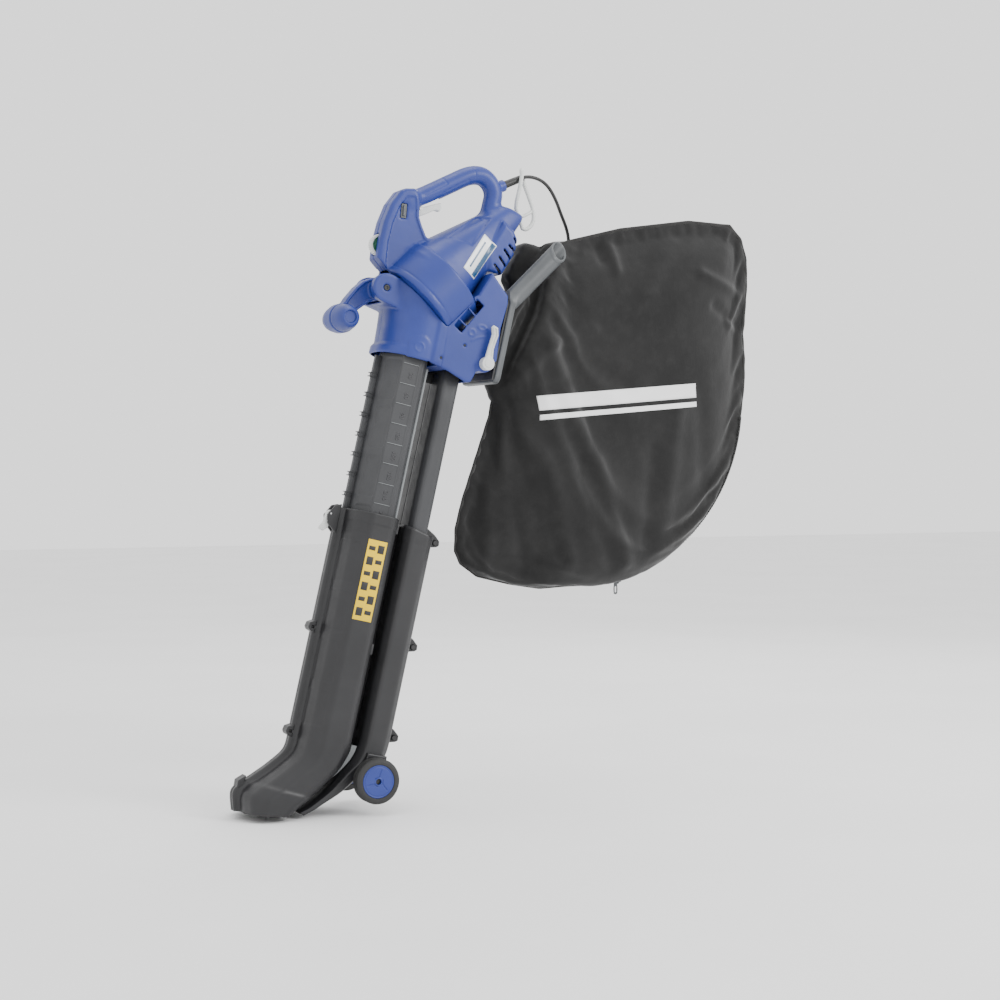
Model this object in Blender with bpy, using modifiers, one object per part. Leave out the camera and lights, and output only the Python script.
"""Leaf blower and garden vacuum with telescopic tubes, wheels and a collecting bag.

World frame: metres, +Z up, nozzle towards -X, bag towards +X, origin at the middle of the main grip.
Tool frame: the world frame leaned by LEAN about Y, so that its z axis runs up along the tubes.
"""
import math

import bmesh
import bpy
from mathutils import Matrix, Vector

# ---------------------------------------------------------------- driving dimensions
LEAN = math.radians(13.0)      # lean of the tubes, top towards the bag
WALL = 0.0028                  # moulded wall
GAP = 0.0003                   # clearance between touching parts
SPLIT = GAP / 2                # each clamshell half stops this far from the middle plane

FAN_TILT = math.radians(55.2)  # motor axis above the tool x axis
FAN_FACE = (-0.012, -0.178)    # middle of the fan chamber's lower face, tool x and z
DRUM_R = 0.074
DRUM_LEN = 0.058
DRUM_DROP = 0.012              # the fan chamber is a scroll, set this far below the motor axis line
IMPELLER_R = 0.0560
COWL_R = 0.061
COWL_END_R = 0.0165
COWL_LEN = 0.183
COWL_DROP = 0.0125             # the cowl's end sits this far below the motor axis line

GRIP_R = 0.0142                # loop handle
PILLAR_HALF = 0.020
VENT_HALF = 0.040
COLLAR_HALF = 0.060            # half widths of the lower housing and of its side plates
PLATE_HALF = 0.0612
RELIEF_START = Vector((0.1050, 0.0, 0.0118))   # the cable's strain relief, world
RELIEF_RUN = Vector((0.0352, 0.0, 0.0149)).normalized()
LOUVRES = 5
LOUVRE_FIRST = Vector((0.1300, 0.0, -0.0520))
LOUVRE_LAST = Vector((0.1140, 0.0, -0.0900))
LOUVRE_TILT = math.radians(-58)
FAN_BLADES = 8
FLAP_LENGTH = 0.0485           # the changeover flap, which has to pass under the fan chamber

DUCT_TOP = -0.2620             # upper tubes start inside the collar
DUCT_BOTTOM = -0.5900
SLEEVE_TOP = -0.5000           # lower tubes, drawn out to full length
DUCT_WALL = 0.0024
NOTCHES = 10
NOTCH_FIRST = -0.2980
NOTCH_PITCH = 0.030            # length adjustment, seven steps
LUG_PLACES = (-0.519, -0.678, -0.815)   # screw lugs along the lower tube
LUG_X = 0.1075
WHEEL_AXIS = (0.070, -0.878)   # tool x and z
WHEEL_R = 0.033
WHEEL_INNER = 0.053            # wheel's inner face from the middle plane
WHEEL_WIDTH = 0.022

ARM_AXIS = (-0.064, -0.174)    # front handle pivot, tool x and z
GRIP_AXIS = (-0.110, -0.230)   # front grip, tool x and z
GRIP_LEN = 0.092
LEVER_AXIS = (0.104, -0.247)   # mode lever shaft, tool x and z
DIAL_AXIS = (-0.0745, -0.109)  # speed wheel, tool x and z
TRIGGER_AXIS = (-0.0275, -0.0400)
LATCH_AXIS = (-0.0635, -0.512)
HOOK_HIGH = Vector((0.1268, 0.0, -0.0215))   # the cable hook's turning axis, world
HOOK_LOW = Vector((0.1375, 0.0, -0.0515))
HOOK_WIRE_R = 0.0025

BAG_HALF = 0.048               # half thickness of the filled bag
BAG_CENTRE = (0.243, -0.310)   # middle of the bag's round lower edge, world x and z
BAG_R = 0.290
ZIP_ANGLE = math.radians(-78)  # where the zip's slider stands on that edge
CORD_R = 0.0027

# ---------------------------------------------------------------- materials
COLOURS = {
    "blue_plastic": ((0.030, 0.065, 0.330), 0.42, 0.0),
    "dark_plastic": ((0.055, 0.055, 0.060), 0.50, 0.0),
    "black_plastic": ((0.020, 0.020, 0.022), 0.45, 0.0),
    "grey_plastic": ((0.300, 0.320, 0.330), 0.50, 0.0),
    "white_plastic": ((0.830, 0.830, 0.800), 0.40, 0.0),
    "green_plastic": ((0.020, 0.120, 0.060), 0.50, 0.0),
    "rubber": ((0.012, 0.012, 0.012), 0.75, 0.0),
    "fabric": ((0.045, 0.045, 0.045), 0.90, 0.0),
    "label": ((0.760, 0.540, 0.010), 0.45, 0.0),
    "steel": ((0.560, 0.560, 0.560), 0.35, 1.0),
    "copper": ((0.620, 0.280, 0.130), 0.40, 1.0),
    "board": ((0.030, 0.160, 0.070), 0.60, 0.0),
    "carbon": ((0.040, 0.040, 0.040), 0.60, 0.0),
}


def material(name):
    """The material of that name, made once."""
    mat = bpy.data.materials.get(name)
    if mat is None:
        colour, roughness, metallic = COLOURS[name]
        mat = bpy.data.materials.new(name)
        mat.use_nodes = True
        shader = mat.node_tree.nodes["Principled BSDF"]
        shader.inputs["Base Color"].default_value = (*colour, 1.0)
        shader.inputs["Roughness"].default_value = roughness
        shader.inputs["Metallic"].default_value = metallic
    return mat


# ---------------------------------------------------------------- scene
for old in list(bpy.data.objects):
    bpy.data.objects.remove(old, do_unlink=True)
PART = bpy.data.collections.new("leaf_blower")
bpy.context.scene.collection.children.link(PART)
TOOL = bpy.data.objects.new("tool_frame", None)
TOOL.rotation_euler = (0.0, LEAN, 0.0)
PART.objects.link(TOOL)
TO_WORLD = Matrix.Rotation(LEAN, 4, "Y")


def to_tool(x, z):
    """Tool x and z of a world point."""
    point = TO_WORLD.inverted() @ Vector((x, 0.0, z))
    return point.x, point.z


# ---------------------------------------------------------------- solids, all in tool coordinates
def temp(bm):
    """A loose object that holds a solid while it is being worked on."""
    bmesh.ops.recalc_face_normals(bm, faces=bm.faces)
    mesh = bpy.data.meshes.new("solid")
    bm.to_mesh(mesh)
    bm.free()
    solid = bpy.data.objects.new("solid", mesh)
    PART.objects.link(solid)
    return solid


def curve_solid(curve):
    """The mesh solid of a curve, with its caps welded."""
    holder = bpy.data.objects.new("curve", curve)
    PART.objects.link(holder)
    bpy.context.view_layer.update()
    mesh = bpy.data.meshes.new_from_object(holder.evaluated_get(bpy.context.evaluated_depsgraph_get()))
    bpy.data.objects.remove(holder, do_unlink=True)
    bm = bmesh.new()
    bm.from_mesh(mesh)
    bmesh.ops.remove_doubles(bm, verts=bm.verts, dist=0.00002)
    return temp(bm)


def rounded(solid, width, segments=2, angle=50.0):
    """Rounds the solid's sharp edges."""
    if width > 0.0:
        bevel = solid.modifiers.new("rounding", "BEVEL")
        bevel.width = width
        bevel.segments = segments
        bevel.limit_method = "ANGLE"
        bevel.angle_limit = math.radians(angle)
        bake(solid)
    return solid


def bake(solid):
    """Applies the solid's modifiers."""
    bpy.context.view_layer.update()
    mesh = bpy.data.meshes.new_from_object(solid.evaluated_get(bpy.context.evaluated_depsgraph_get()))
    solid.modifiers.clear()
    solid.data = mesh
    return solid


def weld(solid):
    """Closes the hairline gaps that a boolean can leave at a corner."""
    bm = bmesh.new()
    bm.from_mesh(solid.data)
    if any(len(edge.link_faces) != 2 for edge in bm.edges):
        bmesh.ops.remove_doubles(bm, verts=bm.verts, dist=0.00002)
        bm.to_mesh(solid.data)
    bm.free()


def combine(operation, solid, others):
    """Boolean of one solid with each of the others, which are used up."""
    for other in others:
        boolean = solid.modifiers.new("boolean", "BOOLEAN")
        boolean.operation = operation
        boolean.solver = "EXACT"
        boolean.object = other
        bake(solid)
        weld(solid)
        bpy.data.objects.remove(other, do_unlink=True)
    return solid


def union(solid, *others):
    return combine("UNION", solid, others)


def cut(solid, *others):
    return combine("DIFFERENCE", solid, others)


def prism(outline, y0, y1):
    """A flat plate in the side view: outline is a list of (x, z)."""
    curve = bpy.data.curves.new("outline", "CURVE")
    curve.dimensions = "2D"
    curve.fill_mode = "BOTH"
    curve.extrude = (y1 - y0) / 2
    spline = curve.splines.new("POLY")
    spline.points.add(len(outline) - 1)
    spline.use_cyclic_u = True
    for point, (x, z) in zip(spline.points, outline):
        point.co = (x, z, 0.0, 1.0)
    solid = curve_solid(curve)
    solid.data.transform(Matrix.Translation((0.0, (y0 + y1) / 2, 0.0)) @ Matrix.Rotation(math.pi / 2, 4, "X"))
    return solid


def box(x0, x1, y0, y1, z0, z1):
    bm = bmesh.new()
    bmesh.ops.create_cube(bm, size=1.0)
    bmesh.ops.scale(bm, vec=(x1 - x0, y1 - y0, z1 - z0), verts=bm.verts)
    bmesh.ops.translate(bm, vec=((x0 + x1) / 2, (y0 + y1) / 2, (z0 + z1) / 2), verts=bm.verts)
    return temp(bm)


def cone(start, end, r_start, r_end, segments=32):
    """A cylinder or cone between two points."""
    start, end = Vector(start), Vector(end)
    bm = bmesh.new()
    bmesh.ops.create_cone(bm, cap_ends=True, segments=segments, radius1=r_start, radius2=r_end,
                          depth=(end - start).length)
    turn = Vector((0.0, 0.0, 1.0)).rotation_difference(end - start).to_matrix().to_4x4()
    bmesh.ops.transform(bm, matrix=Matrix.Translation((start + end) / 2) @ turn, verts=bm.verts)
    return temp(bm)


def rod(x, z, y0, y1, radius, segments=24):
    """A cylinder across the tool, along Y."""
    return cone((x, y0, z), (x, y1, z), radius, radius, segments)


def smooth_path(points, steps):
    """Catmull-Rom curve through the points, with some steps for each stretch."""
    points = [Vector(p) for p in points]
    ends = [2 * points[0] - points[1], *points, 2 * points[-1] - points[-2]]
    path = []
    for i in range(len(points) - 1):
        a, b, c, d = ends[i:i + 4]
        for step in range(steps):
            t = step / steps
            path.append(0.5 * (2 * b + (c - a) * t + (2 * a - 5 * b + 4 * c - d) * t * t
                               + (3 * b - 3 * c + d - a) * t ** 3))
    return path + [points[-1]]


def tube(path, radius, resolution=3, cyclic=False):
    """A round bar along a path."""
    curve = bpy.data.curves.new("path", "CURVE")
    curve.dimensions = "3D"
    curve.bevel_depth = radius
    curve.bevel_resolution = resolution
    curve.use_fill_caps = not cyclic
    spline = curve.splines.new("POLY")
    spline.points.add(len(path) - 1)
    spline.use_cyclic_u = cyclic
    for point, place in zip(spline.points, path):
        point.co = (*place, 1.0)
    return curve_solid(curve)


def turned(profile, centre, axis, steps=32):
    """A turned piece: profile is (radius, along) from the far end's inner edge round to the near one."""
    mesh = bpy.data.meshes.new("profile")
    count = len(profile)
    mesh.from_pydata([(r, 0.0, h) for r, h in profile], [(i, (i + 1) % count) for i in range(count)], [])
    solid = bpy.data.objects.new("turned", mesh)
    PART.objects.link(solid)
    screw = solid.modifiers.new("turn", "SCREW")
    screw.steps = steps
    screw.render_steps = steps
    screw.merge_threshold = 0.00001
    screw.use_merge_vertices = True
    bake(solid)
    bm = bmesh.new()
    bm.from_mesh(solid.data)
    bpy.data.objects.remove(solid, do_unlink=True)
    bmesh.ops.remove_doubles(bm, verts=bm.verts, dist=0.00001)
    turn = Vector((0.0, 0.0, 1.0)).rotation_difference(Vector(axis)).to_matrix().to_4x4()
    bmesh.ops.transform(bm, matrix=Matrix.Translation(centre) @ turn, verts=bm.verts)
    return temp(bm)


def ring(centre, axis, inner, outer, length, steps=32):
    """A plain turned ring, centred on a point of its axis."""
    h = length / 2
    return turned([(outer, h), (outer, -h), (inner, -h), (inner, h)], centre, axis, steps)


def node(name, solid, mat, pivot=(0.0, 0.0, 0.0), parent=TOOL):
    """Turns a solid into a named sub-part whose origin is its pivot."""
    solid.name = name
    solid.data.name = name
    solid.data.transform(Matrix.Translation(-Vector(pivot)))
    solid.parent = parent
    solid.location = pivot
    solid.data.materials.clear()
    solid.data.materials.append(material(mat))
    solid.data.shade_smooth()
    solid.data.set_sharp_from_angle(angle=math.radians(35))
    return solid


def mirrored(solid):
    """The same solid on the other side of the middle plane."""
    bm = bmesh.new()
    bm.from_mesh(solid.data)
    bmesh.ops.scale(bm, vec=(1.0, -1.0, 1.0), verts=bm.verts)
    return temp(bm)


def mirrored_away(solid):
    """Swaps a solid for its mirror image."""
    other = mirrored(solid)
    bpy.data.objects.remove(solid, do_unlink=True)
    return other


def left_half(solid):
    """Keeps the side of the solid at -Y."""
    return cut(solid, box(-0.5, 0.8, -SPLIT, 0.4, -1.1, 0.3))


# ---------------------------------------------------------------- fan axis
AXIS = Vector((math.cos(FAN_TILT), 0.0, math.sin(FAN_TILT)))
DOWN = Vector((AXIS.z, 0.0, -AXIS.x))


def on_axis(along, below=0.0, y=0.0):
    """A point by its distance along the motor axis from the fan chamber's lower face."""
    return Vector((FAN_FACE[0], y, FAN_FACE[1])) + AXIS * along + DOWN * below


# ---------------------------------------------------------------- upper housing
PILLAR = [(-0.065, -0.023), (-0.042, -0.014), (-0.024, -0.040), (-0.020, -0.064), (-0.004, -0.080),
          (0.010, -0.110), (-0.020, -0.150), (-0.058, -0.142), (-0.079, -0.133), (-0.082, -0.100),
          (-0.081, -0.070), (-0.076, -0.044)]
LOOP = [(-0.046, 0.0, -0.034), (-0.022, 0.0, -0.017), (0.014, 0.0, 0.012), (0.040, 0.0, 0.032),
        (0.060, 0.0, 0.038), (0.076, 0.0, 0.032), (0.086, 0.0, 0.018), (0.087, 0.0, 0.000),
        (0.086, 0.0, -0.034)]
VENT_BLOCK = [(0.098, -0.026), (0.119, -0.036), (0.1270, -0.054), (0.1250, -0.072), (0.112, -0.106),
              (0.088, -0.106), (0.078, -0.080)]


def shrunk(outline, amount):
    """A convex outline moved inwards by an amount."""
    middle = Vector((sum(x for x, z in outline), sum(z for x, z in outline))) / len(outline)
    lines = []
    for (x0, z0), (x1, z1) in zip(outline, outline[1:] + outline[:1]):
        run = Vector((x1 - x0, z1 - z0)).normalized()
        normal = Vector((-run.y, run.x))
        if normal.dot(middle - Vector((x0, z0))) < 0:
            normal = -normal
        lines.append((Vector((x0, z0)) + normal * amount, run))
    corners = []
    for (p, u), (q, v) in zip([lines[-1]] + lines[:-1], lines):
        cross = u.x * v.y - u.y * v.x
        t = ((q - p).x * v.y - (q - p).y * v.x) / cross
        corners.append(tuple(p + u * t))
    return corners


def drum_solid(grow, start, end):
    """The fan chamber, from one distance along the motor axis to another."""
    return cone(on_axis(start, DRUM_DROP), on_axis(end, DRUM_DROP), DRUM_R + grow, DRUM_R + grow, 40)


def cowl_solid(grow, start, end_extra):
    """The tapering motor cowl, whose far end drops towards the vents."""
    solid = cone(on_axis(start), on_axis(DRUM_LEN + COWL_LEN + end_extra), COWL_R + grow,
                 COWL_END_R + grow, 32)
    far = on_axis(DRUM_LEN + COWL_LEN / 2)
    for vertex in solid.data.vertices:
        if (vertex.co - far).dot(AXIS) > 0:
            vertex.co += DOWN * COWL_DROP
    roof = prism([(0.060, 0.0142 + grow), (0.160, -0.0088 + grow), (0.200, 0.100), (0.060, 0.100)], -0.1, 0.1)
    return cut(solid, roof)


def upper_housing():
    outer = union(rounded(drum_solid(0.0, 0.0, DRUM_LEN), 0.003, 1),
                  rounded(cowl_solid(0.0, DRUM_LEN - 0.010, 0.0), 0.006, 1),
                  rounded(prism(PILLAR, -PILLAR_HALF, PILLAR_HALF), 0.007, 1),
                  tube(smooth_path(LOOP, 1), GRIP_R, 2),
                  rounded(prism(VENT_BLOCK, -VENT_HALF, VENT_HALF), 0.005, 1),
                  gland_bore(0.0095, -0.0100, 0.0020))
    cavity = union(drum_solid(-WALL, -0.010, DRUM_LEN - WALL),
                   cowl_solid(-WALL, DRUM_LEN - 0.012, -WALL),
                   prism(shrunk(PILLAR, WALL), -PILLAR_HALF + WALL, PILLAR_HALF - WALL),
                   tube(smooth_path(LOOP, 1), GRIP_R - WALL, 2),
                   prism(shrunk(VENT_BLOCK, WALL), -VENT_HALF + WALL, VENT_HALF - WALL))
    # the chamber's lower plane trims the pillar's foot
    shell = cut(left_half(outer), cavity, below_fan_face(0.0))
    # cable gland, trigger slot and dial slot
    shell = cut(shell, gland_bore(0.0062, -0.0120, 0.0200), hook_bore(0.0031), prism(TRIGGER_SLOT, -0.0065, 0.0065),
                rod(*TRIGGER_AXIS, -0.0106, 0.0106, 0.0018, 10), rod(*DIAL_AXIS, -0.0062, 0.0062, 0.0178, 18))
    half = shell
    for i in range(LOUVRES):
        louvre = box(-0.0012, 0.0012, -0.060, -0.018, -0.0095, 0.0095)
        place = LOUVRE_FIRST.lerp(LOUVRE_LAST, i / (LOUVRES - 1))
        louvre.data.transform(Matrix.Translation(place) @ Matrix.Rotation(LOUVRE_TILT, 4, "Y"))
        half = cut(half, louvre)
    node("upper_housing_right", mirrored(half), "blue_plastic")
    window = prism(LOCK_SLOT, -PILLAR_HALF - 0.004, -PILLAR_HALF + 0.006)
    node("upper_housing_left", cut(half, window), "blue_plastic")


def gland_bore(radius, inner, outer):
    """A cylinder along the cable's strain relief, between two distances from where it leaves the grip."""
    start = TO_WORLD.inverted() @ RELIEF_START
    run = TO_WORLD.inverted() @ RELIEF_RUN
    return cone(start + run * inner, start + run * outer, radius, radius, 12)


def hook_bore(radius):
    """The hole through the cowl's corner in which the cable hook turns."""
    high = TO_WORLD.inverted() @ HOOK_HIGH
    low = TO_WORLD.inverted() @ HOOK_LOW
    run = (high - low).normalized()
    return cone(low - run * 0.004, high + run * 0.006, radius, radius, 12)


def below_fan_face(lift):
    """Everything under the plane of the fan chamber's lower face."""
    block = box(-0.30, 0.30, -0.2, 0.2, -0.25, 0.0)
    turn = Vector((0.0, 0.0, 1.0)).rotation_difference(AXIS).to_matrix().to_4x4()
    block.data.transform(Matrix.Translation(on_axis(lift)) @ turn)
    return block


TRIGGER_SLOT = [(-0.0370, -0.0470), (-0.0215, -0.0560), (-0.0215, -0.0380), (0.0040, -0.0160), (-0.0050, -0.0060),
                (-0.0370, -0.0300)]
LOCK_SLOT = [(-0.0625, -0.0415), (-0.0495, -0.0400), (-0.0470, -0.0640), (-0.0600, -0.0655)]

# ---------------------------------------------------------------- lower housing
PLATE = [(0.062, -0.120), (0.087, -0.111), (0.119, -0.141), (0.1215, -0.241), (0.110, -0.251),
         (0.0935, -0.262), (0.0870, -0.2800), (0.0790, -0.2818), (0.048, -0.271), (0.010, -0.266),
         (0.010, -0.190)]
PLATE_CAVITY = [(0.066, -0.130), (0.086, -0.118), (0.1160, -0.146), (0.1160, -0.238), (0.106, -0.249),
                (0.0895, -0.262), (0.0810, -0.290), (0.046, -0.290), (0.046, -0.200)]


def upright_rounded(solid, radius, segments):
    """Rounds the edges of a box that run up along the tubes."""
    bm = bmesh.new()
    bm.from_mesh(solid.data)
    bpy.data.objects.remove(solid, do_unlink=True)
    upright = [e for e in bm.edges if abs((e.verts[0].co - e.verts[1].co).normalized().z) > 0.9]
    bmesh.ops.bevel(bm, geom=upright, offset=radius, segments=segments, profile=0.5, affect="EDGES")
    return temp(bm)


def lower_housing():
    collar = box(-0.0575, 0.0330, -COLLAR_HALF, COLLAR_HALF, -0.2670, -0.1200)
    collar = upright_rounded(collar, 0.034, 4)
    plate = prism(PLATE, -PLATE_HALF, PLATE_HALF)
    outer = union(collar, plate,
                  rod(*ARM_AXIS, -0.040, 0.040, 0.021, 24),
                  rod(*LEVER_AXIS, -PLATE_HALF + 0.0006, PLATE_HALF - 0.0006, 0.0125, 20))
    above = box(-0.20, 0.052, -0.2, 0.2, 0.0, 0.20)
    turn = Vector((0.0, 0.0, 1.0)).rotation_difference(AXIS).to_matrix().to_4x4()
    above.data.transform(Matrix.Translation(on_axis(-GAP)) @ turn)
    outer = cut(left_half(outer), above)
    outer = cut(outer,
                drum_solid(GAP, -2 * GAP, DRUM_LEN + GAP),
                cowl_solid(GAP, DRUM_LEN - 0.012, GAP),
                prism(shrunk(VENT_BLOCK, -GAP), -VENT_HALF - GAP, VENT_HALF + GAP))
    # throat up to the fan, outlet scroll, bag outlet and the arm's slot between the cheeks
    outer = cut(outer,
                upright_rounded(box(-0.0545, 0.0303, -COLLAR_HALF + WALL, COLLAR_HALF - WALL, -0.290, -0.100),
                                0.031, 4),
                prism(PLATE_CAVITY, -PLATE_HALF + WALL, PLATE_HALF - WALL),
                rod(*LEVER_AXIS, -PLATE_HALF + WALL + 0.0008, PLATE_HALF - WALL - 0.0008, 0.0096, 20),
                box(0.110, 0.130, -0.049, 0.049, -0.238, -0.160))
    half = outer
    # a curved wall closes the throat behind the arm's slot
    half = union(half, rod(*ARM_AXIS, -0.0298, -SPLIT, 0.0208, 24))
    half = cut(half,
               prism(ARM_SLOT, -0.0275, 0.010),
               rod(*ARM_AXIS, -0.0275, 0.010, 0.0178, 24),
               rod(*ARM_AXIS, -0.050, 0.010, 0.0033, 12),
               rod(*LEVER_AXIS, -0.070, 0.000, 0.0053, 16))
    right = mirrored(half)
    node("lower_housing_left", half, "blue_plastic")
    node("lower_housing_right", right, "blue_plastic")


ARM_SLOT = [(-0.110, -0.140), (-0.083, -0.130), (-0.062, -0.1560), (-0.0460, -0.174), (-0.062, -0.1925),
            (-0.075, -0.215), (-0.110, -0.215)]


def changeover():
    """Mode lever with its shaft and the flap between the tube outlet and the bag outlet."""
    x, z = LEVER_AXIS
    blade = prism([(x - 0.007, z), (x + 0.007, z + 0.002), (x + 0.0045, z + 0.030), (x + 0.0035, z + 0.056),
                   (x - 0.003, z + 0.058), (x - 0.006, z + 0.046), (x - 0.004, z + 0.030)], -0.074, -0.068)
    lever = union(rounded(blade, 0.0012, 1), rod(x, z, -0.0755, -0.0617, 0.0098, 24))
    lever = cut(lever, rod(x, z, -0.080, -0.050, 0.0048, 16))
    node("mode_lever", lever, "white_plastic", (x, 0.0, z))
    node("changeover_shaft", rod(x, z, -0.0735, 0.0590, 0.0045, 16), "steel", (x, 0.0, z))
    flap = union(rod(x, z, -0.0540, 0.0540, 0.0068, 16),
                 box(x - 0.0012, x + 0.0012, -0.0540, 0.0540, z + 0.003, z + FLAP_LENGTH))
    flap = cut(flap, rod(x, z, -0.060, 0.065, 0.0048, 16))
    node("changeover_flap", flap, "black_plastic", (x, 0.0, z))


# ---------------------------------------------------------------- controls
def controls():
    x, z = TRIGGER_AXIS
    blade = prism([(x - 0.0035, z - 0.0045), (x + 0.0030, z - 0.0075), (x + 0.0220, z + 0.0030),
                   (x + 0.0300, z + 0.0060), (x + 0.0345, z + 0.0115), (x + 0.0320, z + 0.0195),
                   (x + 0.0230, z + 0.0135), (x + 0.0060, z + 0.0050), (x, z + 0.0046)], -0.0052, 0.0052)
    trigger = union(rounded(blade, 0.0008, 1), rod(x, z, -0.0050, 0.0050, 0.0046, 14))
    trigger = cut(trigger, rod(x, z, -0.010, 0.010, 0.0018, 10))
    node("trigger", trigger, "white_plastic", (x, 0.0, z))
    node("trigger_pin", rod(x, z, -0.0100, 0.0100, 0.0015, 10), "steel", (x, 0.0, z))

    slide = prism(shrunk(LOCK_SLOT, 0.0010), -0.0172, -0.0158)
    knob = box(-0.0575, -0.0525, -0.0205, -0.0165, -0.0575, -0.0490)
    node("lock_slide", union(slide, rounded(knob, 0.0006, 1)), "white_plastic")

    x, z = DIAL_AXIS
    dial = rod(x, z, -0.0052, 0.0052, 0.0165, 20)
    dial = cut(dial, *[rod(x + 0.0171 * math.cos(a), z + 0.0171 * math.sin(a), -0.01, 0.01, 0.0016, 6)
                       for a in (math.radians(36 * i) for i in range(10))],
               rod(x, z, -0.010, 0.010, 0.0028, 12))
    node("speed_dial", dial, "green_plastic", (x, 0.0, z))
    node("dial_spindle", rod(x, z, -0.0165, 0.0165, 0.0025, 12), "black_plastic", (x, 0.0, z))


def front_handle():
    x, z = ARM_AXIS
    arm = prism([(x + 0.008, z + 0.013), (x - 0.014, z + 0.0125), (-0.0960, -0.1810), (-0.1090, -0.2020),
                 (-0.1120, -0.2180), (-0.0980, -0.2200), (-0.0900, -0.2080), (-0.0740, -0.1925),
                 (x + 0.002, z - 0.0155)], -0.0120, 0.0120)
    arm = union(rounded(arm, 0.003, 1), rod(x, z, -0.0265, 0.0265, 0.0165, 24))
    arm = cut(arm, rod(*GRIP_AXIS, -0.06, 0.06, 0.0215, 24), rod(x, z, -0.05, 0.05, 0.0045, 16))
    gx, gz = GRIP_AXIS
    arm = union(arm, rod(gx, gz, -0.0110, 0.0110, 0.0230, 24))
    arm = cut(arm, rod(gx, gz, -0.03, 0.03, 0.0170, 24))
    node("front_handle_arm", arm, "blue_plastic", (x, 0.0, z))
    # the barrel grip is waisted at its middle, where the arm's eye holds it
    h = GRIP_LEN / 2
    profile = [(0.0060, h), (0.0130, h), (0.0178, h - 0.004), (0.0205, h - 0.012), (0.0212, h - 0.024),
               (0.0196, 0.0114), (0.0166, 0.0112), (0.0166, -0.0112), (0.0196, -0.0114),
               (0.0212, -h + 0.024), (0.0205, -h + 0.012), (0.0178, -h + 0.004), (0.0130, -h), (0.0060, -h)]
    node("front_grip", turned(profile, (gx, 0.0, gz), (0, 1, 0), 28), "blue_plastic", (gx, 0.0, gz))
    bolt = union(rod(x, z, -0.0406, 0.0406, 0.0029, 12), rod(x, z, -0.0435, -0.0403, 0.0060, 16),
                 rod(x, z, 0.0403, 0.0435, 0.0060, 16))
    node("front_handle_bolt", bolt, "steel", (x, 0.0, z))


# ---------------------------------------------------------------- cable and its hook
CORD_ROUTE = [(0.1402, 0.0000, 0.0267), (0.1450, 0.0000, 0.0276), (0.1544, 0.0000, 0.0277),
              (0.1668, 0.0020, 0.0255), (0.1803, 0.0060, 0.0200), (0.1934, 0.0120, 0.0102),
              (0.2073, 0.0220, -0.0031), (0.2210, 0.0340, -0.0185), (0.2386, 0.0470, -0.0421),
              (0.2476, 0.0570, -0.0620), (0.2540, 0.0680, -0.0950), (0.2570, 0.0745, -0.1350),
              (0.2582, 0.0762, -0.1850), (0.2588, 0.0765, -0.2350), (0.2590, 0.0765, -0.2900),
              (0.2590, 0.0765, -0.3500), (0.2590, 0.0765, -0.4000)]


def cable():
    start, run = RELIEF_START, RELIEF_RUN
    relief = cone(start - run * 0.0100, start + run * 0.0374, 0.0058, 0.0053, 16)
    back = TO_WORLD.inverted()
    relief.data.transform(back)
    node("strain_relief", relief, "rubber")
    node("cord", tube([back @ p for p in smooth_path(CORD_ROUTE, 4)], CORD_R, 2), "rubber")
    end = Vector(CORD_ROUTE[-1])
    plug = union(turned([(0.0001, -0.0003), (0.0050, -0.0003), (0.0085, -0.014), (0.0190, -0.022),
                         (0.0190, -0.047), (0.0165, -0.050), (0.0001, -0.050)][::-1], end, (0, 0, 1), 20),
                 cone(end + Vector((0.0, -0.0095, -0.048)), end + Vector((0.0, -0.0095, -0.068)), 0.0024, 0.0024, 10),
                 cone(end + Vector((0.0, 0.0095, -0.048)), end + Vector((0.0, 0.0095, -0.068)), 0.0024, 0.0024, 10))
    plug.data.transform(back)
    node("plug", plug, "rubber")

    # the hook is a ring: its straight side turns in the cowl's corner, its eye goes round the cable
    ring_path = [HOOK_HIGH, HOOK_LOW, (0.1455, 0.0, -0.0520), (0.1545, 0.0, -0.0420), (0.1575, 0.0005, -0.0270),
                 (0.1545, 0.0050, -0.0070), (0.1480, 0.0092, 0.0110), (0.1425, 0.0098, 0.0240),
                 (0.1385, 0.0055, 0.0350), (0.1360, 0.0, 0.0378), (0.1335, -0.0055, 0.0350),
                 (0.1310, -0.0098, 0.0235), (0.1285, -0.0080, 0.0080), (0.1268, -0.0030, -0.0080)]
    pivot = back @ ((HOOK_HIGH + HOOK_LOW) / 2)
    hook = tube([back @ Vector(p) for p in ring_path], HOOK_WIRE_R, 2, cyclic=True)
    node("cable_hook", hook, "white_plastic", tuple(pivot))


# ---------------------------------------------------------------- tubes
UPPER_SUCTION = [(-0.036, -SPLIT), (-0.036, -0.018), (-0.031, -0.036), (-0.0185, -0.0500), (0.0140, -0.0500),
                 (0.0230, -0.0420), (0.0250, -0.0200), (0.0250, -SPLIT)]
UPPER_BLOW = [(0.0505, -SPLIT), (0.0505, -0.0300), (0.0565, -0.0390), (0.0765, -0.0390), (0.0815, -0.0330),
              (0.0825, -0.0120), (0.0825, -SPLIT)]
LOWER_PATH = [(-0.0530, -SPLIT), (-0.0530, -0.0085), (-0.0425, -0.0100), (-0.0425, -0.0230),
              (-0.0360, -0.0420), (-0.0165, -0.0565), (0.0155, -0.0565), (0.0280, -0.0460),
              (0.0305, -0.0220), (0.0305, -0.0085), (0.0450, -0.0085), (0.0450, -0.0310), (0.0550, -0.0430),
              (0.0800, -0.0430), (0.0915, -0.0340), (0.0935, -0.0130), (0.0935, -SPLIT)]
SUCTION_POINTS = 10            # how many points of LOWER_PATH belong to the suction duct


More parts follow.
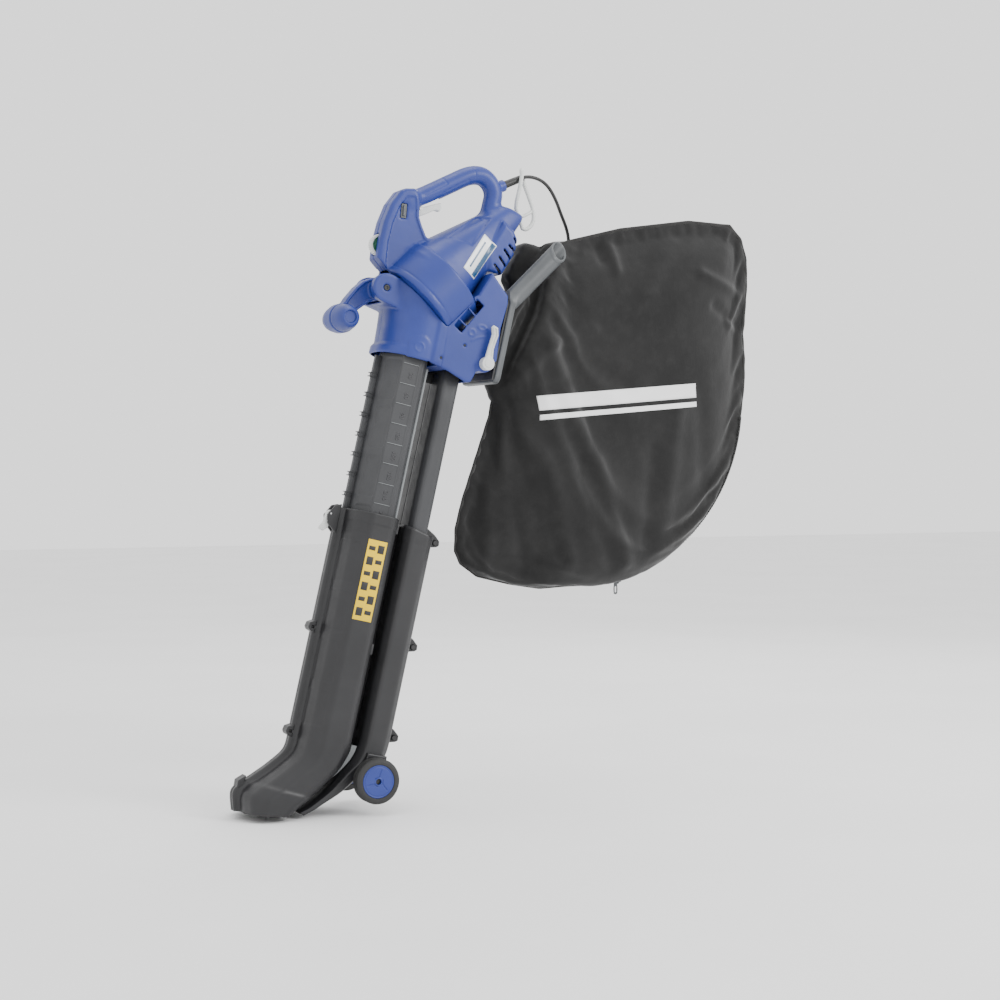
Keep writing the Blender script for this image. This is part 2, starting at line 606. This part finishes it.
def skin(rows, wall):
    """An open surface through rows of points, thickened inwards."""
    bm = bmesh.new()
    grid = [[bm.verts.new(p) for p in row] for row in rows]
    for lower, upper in zip(grid, grid[1:]):
        for i in range(len(lower) - 1):
            bm.faces.new((lower[i], lower[i + 1], upper[i + 1], upper[i]))
    mesh = bpy.data.meshes.new("skin")
    bm.to_mesh(mesh)
    bm.free()
    solid = bpy.data.objects.new("skin", mesh)
    PART.objects.link(solid)
    shell = solid.modifiers.new("wall", "SOLIDIFY")
    shell.thickness = wall
    shell.offset = -1.0
    shell.use_even_offset = True
    bake(solid)
    bm = bmesh.new()
    bm.from_mesh(solid.data)
    bpy.data.objects.remove(solid, do_unlink=True)
    return temp(bm)


def upper_tubes():
    rows = [[(x, y, z) for x, y in UPPER_SUCTION] for z in (DUCT_BOTTOM, DUCT_TOP)]
    suction = skin(rows, DUCT_WALL)
    rows = [[(x, y, z) for x, y in UPPER_BLOW] for z in (DUCT_BOTTOM, DUCT_TOP)]
    blow = skin(rows, DUCT_WALL)
    web = box(0.0235, 0.0520, -0.0040, -SPLIT, DUCT_BOTTOM, -0.2740)
    rail = box(-0.0450, -0.0345, -0.0036, -SPLIT, DUCT_BOTTOM, DUCT_TOP - 0.006)
    half = union(suction, web, blow, rail)
    for i in range(NOTCHES):
        z = NOTCH_FIRST - i * NOTCH_PITCH
        half = union(half, box(-0.0483, -0.0380, -0.0055, -SPLIT, z - 0.0012, z + 0.0012))
    node("upper_tube_right", mirrored(half), "dark_plastic")
    node("upper_tube_left", half, "dark_plastic")


# stations of the nozzle: front and rear of the suction duct, then of the blower duct, tool x and z
NOZZLE = [
    ((-0.0530, -0.831), (0.0305, -0.831), (0.0450, -0.831), (0.0935, -0.831)),
    ((-0.0545, -0.858), (0.0250, -0.862), (0.0400, -0.852), (0.0870, -0.852)),
    ((-0.0730, -0.882), (0.0110, -0.888), (0.0270, -0.874), (0.0600, -0.876)),
    ((-0.0930, -0.904), (-0.0060, -0.911), (0.0090, -0.904), (0.0350, -0.904)),
    ((-0.1180, -0.932), (-0.0240, -0.930), (-0.0110, -0.925), (0.0060, -0.929)),
    ((-0.1110, -0.960), (-0.0400, -0.9475), (-0.0290, -0.941), (-0.0170, -0.947)),
]


def lower_tubes():
    suction = LOWER_PATH[:SUCTION_POINTS]
    blow = LOWER_PATH[SUCTION_POINTS:]
    rows = [[(x, y, SLEEVE_TOP - max(0.0, x - 0.040) * 0.22) for x, y in LOWER_PATH]]
    for front, rear, blow_front, blow_rear in NOZZLE:
        row = []
        for points, start, end in ((suction, front, rear), (blow, blow_front, blow_rear)):
            x0, x1 = points[0][0], points[-1][0]
            for x, y in points:
                t = (x - x0) / (x1 - x0)
                row.append((start[0] + (end[0] - start[0]) * t, y, start[1] + (end[1] - start[1]) * t))
        rows.append(row)
    half = skin(rows[::-1], DUCT_WALL)
    lug_outline = [(0.0920, 0.0170), (0.1060, 0.0100), (0.1150, 0.0030), (0.1150, -0.0060), (0.0920, -0.0110)]
    for z in LUG_PLACES:
        half = union(half, prism([(x, z + h) for x, h in lug_outline], -0.0070, -SPLIT))
    for z in LUG_PLACES[1:]:
        half = union(half, prism([(-0.0515, z + 0.008), (-0.0590, z + 0.003), (-0.0590, z - 0.005),
                                  (-0.0515, z - 0.009)], -0.0070, -SPLIT))
    half = union(half, box(0.0921, 0.0985, -0.0030, -SPLIT, -0.826, -0.516))
    bracket = prism([(0.058, -0.850), (0.082, -0.850), (0.082, -0.882), (0.074, -0.888), (0.062, -0.888)],
                    -0.0480, -0.0405)
    half = union(half, bracket)
    half = cut(half, rod(*WHEEL_AXIS, -0.060, -0.030, 0.0043, 16))
    for z in LUG_PLACES:
        half = cut(half, rod(LUG_X, z - 0.001, -0.02, 0.01, 0.0020, 8))
    node("lower_tube_right", mirrored(half), "black_plastic")
    cover = cut(half, box(-0.0172, 0.0140, -0.0600, -0.0562, -0.6570, -0.5370))
    node("lower_tube_left", cover, "black_plastic")
    label = rounded(box(-0.0165, 0.0133, -0.0570, -0.05645, -0.6560, -0.5380), 0.0001, 1)
    node("label", label, "label")
    for i, z in enumerate(LUG_PLACES):
        screw = union(rod(LUG_X, z - 0.001, -0.0075, 0.0060, 0.0017, 8),
                      rod(LUG_X, z - 0.001, -0.0095, -0.0073, 0.0034, 10))
        node("tube_screw_%d" % (i + 1), screw, "steel")


def latch():
    x, z = LATCH_AXIS
    for side, name in ((-1, "latch_cover_left"), (1, "latch_cover_right")):
        cheek = prism([(-0.0535, -0.4980), (-0.0600, -0.5020), (-0.0680, -0.5160), (-0.0640, -0.5260),
                       (-0.0535, -0.5390)], -0.0085, -0.0050)
        cheek = cut(cheek, rod(x, z, -0.02, 0.0, 0.0018, 10))
        node(name, cheek if side < 0 else mirrored_away(cheek), "black_plastic")
    lever = prism([(x + 0.0060, z + 0.0040), (x - 0.0010, z + 0.0050), (x - 0.0050, z + 0.0010),
                   (x - 0.0060, z - 0.0160), (x - 0.0085, z - 0.0250), (x - 0.0050, z - 0.0270),
                   (x + 0.0010, z - 0.0210), (x + 0.0040, z - 0.0040)], -0.0045, 0.0045)
    lever = cut(lever, rod(x, z, -0.02, 0.02, 0.0018, 10))
    node("latch", lever, "white_plastic", (x, 0.0, z))
    node("latch_pin", rod(x, z, -0.0083, 0.0083, 0.0015, 10), "steel")


def wheels():
    x, z = WHEEL_AXIS
    middle = WHEEL_INNER + WHEEL_WIDTH / 2
    for side, name in ((-1, "left"), (1, "right")):
        centre = (x, side * middle, z)
        w = WHEEL_WIDTH / 2
        tyre = turned([(WHEEL_R - 0.003, w), (WHEEL_R, w - 0.004), (WHEEL_R, -w + 0.004), (WHEEL_R - 0.003, -w),
                       (0.0243, -w), (0.0243, w)], centre, (0, 1, 0), 36)
        node("tyre_" + name, tyre, "rubber", centre)
        hub = ring(centre, (0, 1, 0), 0.0043, 0.0240, WHEEL_WIDTH - 0.002, 30)
        face = centre[1] + side * (w - 0.001)
        for i in range(3):
            slot = box(0.0080, 0.0190, -0.0016, 0.0016, -0.0012, 0.0012)
            slot.data.transform(Matrix.Translation((x, face, z)) @ Matrix.Rotation(math.radians(120 * i + 100), 4, "Y"))
            hub = cut(hub, slot)
        node("wheel_" + name, hub, "blue_plastic", centre)
    node("axle", rod(x, z, -middle - 0.006, middle + 0.006, 0.0040, 16), "steel", (x, 0.0, z))


# ---------------------------------------------------------------- bag side
ARM_MOUTH = Vector((0.355, -0.766, 0.536))      # the frame's tube ends in a slanting cut


def bag_frame():
    port = cut(box(0.1218, 0.1247, -0.0570, 0.0570, -0.2660, -0.1420),
               box(0.1100, 0.1300, -0.0480, 0.0480, -0.2380, -0.1600))
    node("bag_port", port, "black_plastic")
    frame = cut(rounded(box(0.1250, 0.1350, -0.0600, 0.0600, -0.2700, -0.1380), 0.0020, 1),
                box(0.1100, 0.1450, -0.0500, 0.0500, -0.2600, -0.1480))
    start = Vector((0.1300, -0.0450, -0.1430))
    end = Vector((0.1940, -0.0450, -0.0465))
    run = (end - start).normalized()
    arm = cone(start, end + run * 0.024, 0.0145, 0.0147, 24)
    frame = cut(union(frame, arm), cone(start + run * 0.020, end + run * 0.05, 0.0122, 0.0126, 24))
    mouth = box(-0.06, 0.06, -0.06, 0.06, 0.0, 0.06)
    turn = Vector((0.0, 0.0, 1.0)).rotation_difference(ARM_MOUTH).to_matrix().to_4x4()
    mouth.data.transform(Matrix.Translation(end) @ turn)
    frame = cut(frame, mouth)
    node("bag_frame", frame, "grey_plastic")


def bag():
    arc = [(BAG_CENTRE[0] + BAG_R * math.cos(math.radians(a)), BAG_CENTRE[1] + BAG_R * math.sin(math.radians(a)))
           for a in range(-12, -101, -8)]
    outline = [(0.170, -0.130), (0.215, -0.068), (0.309, -0.044), (0.434, -0.025), (0.508, -0.027),
               (0.533, -0.048), (0.543, -0.085), (0.538, -0.200), (0.541, -0.282), *arc[1:],
               (0.116, -0.595), (0.061, -0.582), (0.033, -0.562), (0.026, -0.530), (0.037, -0.468),
               (0.062, -0.397), (0.086, -0.330), (0.089, -0.295), (0.118, -0.190)]
    outline = [to_tool(x, z) for x, z in outline]
    body = rounded(prism(outline, -BAG_HALF, BAG_HALF), 0.030, 2, 60.0)
    neck = box(0.1353, 0.1800, -0.0470, 0.0470, -0.2580, -0.1620)
    sleeve = prism([(0.1330, -0.0760), (0.1560, -0.0450), (0.2200, -0.0250), (0.2100, -0.1100), (0.1600, -0.1700),
                    (0.1400, -0.1340)], 0.0120, 0.0420)
    node("bag", union(body, neck, sleeve), "fabric")

    # zip slider on the round lower edge, with its hanging pull
    out = Vector((math.cos(ZIP_ANGLE), 0.0, math.sin(ZIP_ANGLE)))
    place = Vector((BAG_CENTRE[0], 0.0, BAG_CENTRE[1])) + out * (BAG_R + 0.0030)
    turn = Matrix.Rotation(-math.pi / 2 - ZIP_ANGLE, 4, "Y")
    slider = cut(box(-0.0060, 0.0060, -0.0045, 0.0045, -0.0042, 0.0024), rod(0.0, -0.0022, -0.01, 0.01, 0.0009, 8))
    slider.data.transform(TO_WORLD.inverted() @ Matrix.Translation(place) @ turn)
    node("zip_slider", slider, "grey_plastic")
    hinge = place + out * 0.0022
    pull = cut(prism([(-0.0028, 0.0022), (0.0028, 0.0022), (0.0038, -0.0120), (0.0030, -0.0190), (-0.0030, -0.0190),
                      (-0.0038, -0.0120)], 0.0049, 0.0064),
               box(-0.0016, 0.0016, 0.0, 0.01, -0.0160, -0.0060))
    pull = union(pull, rod(0.0, 0.0, -0.0047, 0.0060, 0.0006, 8))
    pull.data.transform(TO_WORLD.inverted() @ Matrix.Translation(hinge))
    node("zip_pull", pull, "grey_plastic", tuple(TO_WORLD.inverted() @ hinge))


# ---------------------------------------------------------------- inside
def inside():
    motor = on_axis(0.098)
    node("stator", ring(motor, AXIS, 0.0250, 0.0362, 0.040, 28), "steel")
    node("rotor", ring(motor, AXIS, 0.0042, 0.0243, 0.040, 24), "copper")
    node("commutator", ring(on_axis(0.128), AXIS, 0.0042, 0.0110, 0.014, 20), "copper")
    node("motor_shaft", cone(on_axis(-0.002), on_axis(0.150), 0.0039, 0.0039, 14), "steel", tuple(motor))
    node("front_bearing", ring(on_axis(0.066), AXIS, 0.0041, 0.0105, 0.007, 20), "steel")
    node("rear_bearing", ring(on_axis(0.144), AXIS, 0.0041, 0.0085, 0.006, 20), "steel")
    for side, name in ((-1, "brush_left"), (1, "brush_right")):
        brush = box(-0.0035, 0.0035, 0.0115, 0.0270, -0.0035, 0.0035)
        turn = Vector((0.0, 0.0, 1.0)).rotation_difference(AXIS).to_matrix().to_4x4()
        brush.data.transform(Matrix.Translation(on_axis(0.128)) @ turn @ Matrix.Scale(side, 4, (0, 1, 0)))
        bm = bmesh.new()
        bm.from_mesh(brush.data)
        bpy.data.objects.remove(brush, do_unlink=True)
        node(name, temp(bm), "carbon")
    mount = ring(on_axis(0.0590), AXIS, 0.0300, 0.0520, 0.003, 28)
    mount = union(mount, ring(on_axis(0.0630), AXIS, 0.0108, 0.0315, 0.0065, 28))
    node("motor_mount", mount, "black_plastic")

    fan = cone(on_axis(0.0188), on_axis(0.0212), IMPELLER_R, IMPELLER_R, 32)
    fan = union(fan, cone(on_axis(0.0020), on_axis(0.0225), 0.0110, 0.0125, 20))
    turn = Vector((0.0, 0.0, 1.0)).rotation_difference(AXIS).to_matrix().to_4x4()
    for i in range(FAN_BLADES):
        blade = box(0.0080, IMPELLER_R - 0.0015, -0.0010, 0.0010, -0.0160, 0.0001)
        blade.data.transform(Matrix.Translation(on_axis(0.020)) @ turn @ Matrix.Rotation(2 * math.pi * i / FAN_BLADES, 4, "Z"))
        fan = union(fan, blade)
    fan = cut(fan, cone(on_axis(-0.010), on_axis(0.040), 0.0042, 0.0042, 14))
    node("impeller", fan, "dark_plastic", tuple(on_axis(0.020)))

    bars = upright_rounded(box(-0.0538, 0.0296, -0.0566, 0.0566, -0.2360, -0.2335), 0.0306, 4)
    openings = [box(-0.0490 + 0.0155 * i, -0.0490 + 0.0155 * i + 0.0135, -half, half, -0.24, -0.23)
                for i, half in enumerate((0.032, 0.047, 0.047, 0.047, 0.031))]
    node("safety_grille", cut(bars, *openings), "black_plastic")

    node("switch_body", box(-0.0500, -0.0300, -0.0090, 0.0090, -0.0980, -0.0600), "black_plastic")
    board = union(box(-0.0745, -0.0728, -0.0120, 0.0120, -0.0880, -0.0560),
                  box(-0.0730, -0.0660, -0.0050, 0.0050, -0.0820, -0.0660))
    node("speed_board", board, "board")
    node("capacitor", rounded(box(-0.0440, -0.0280, -0.0060, 0.0060, -0.1250, -0.1050), 0.0010, 1), "grey_plastic")


upper_housing()
lower_housing()
changeover()
controls()
front_handle()
cable()
upper_tubes()
lower_tubes()
latch()
wheels()
bag_frame()
bag()
inside()
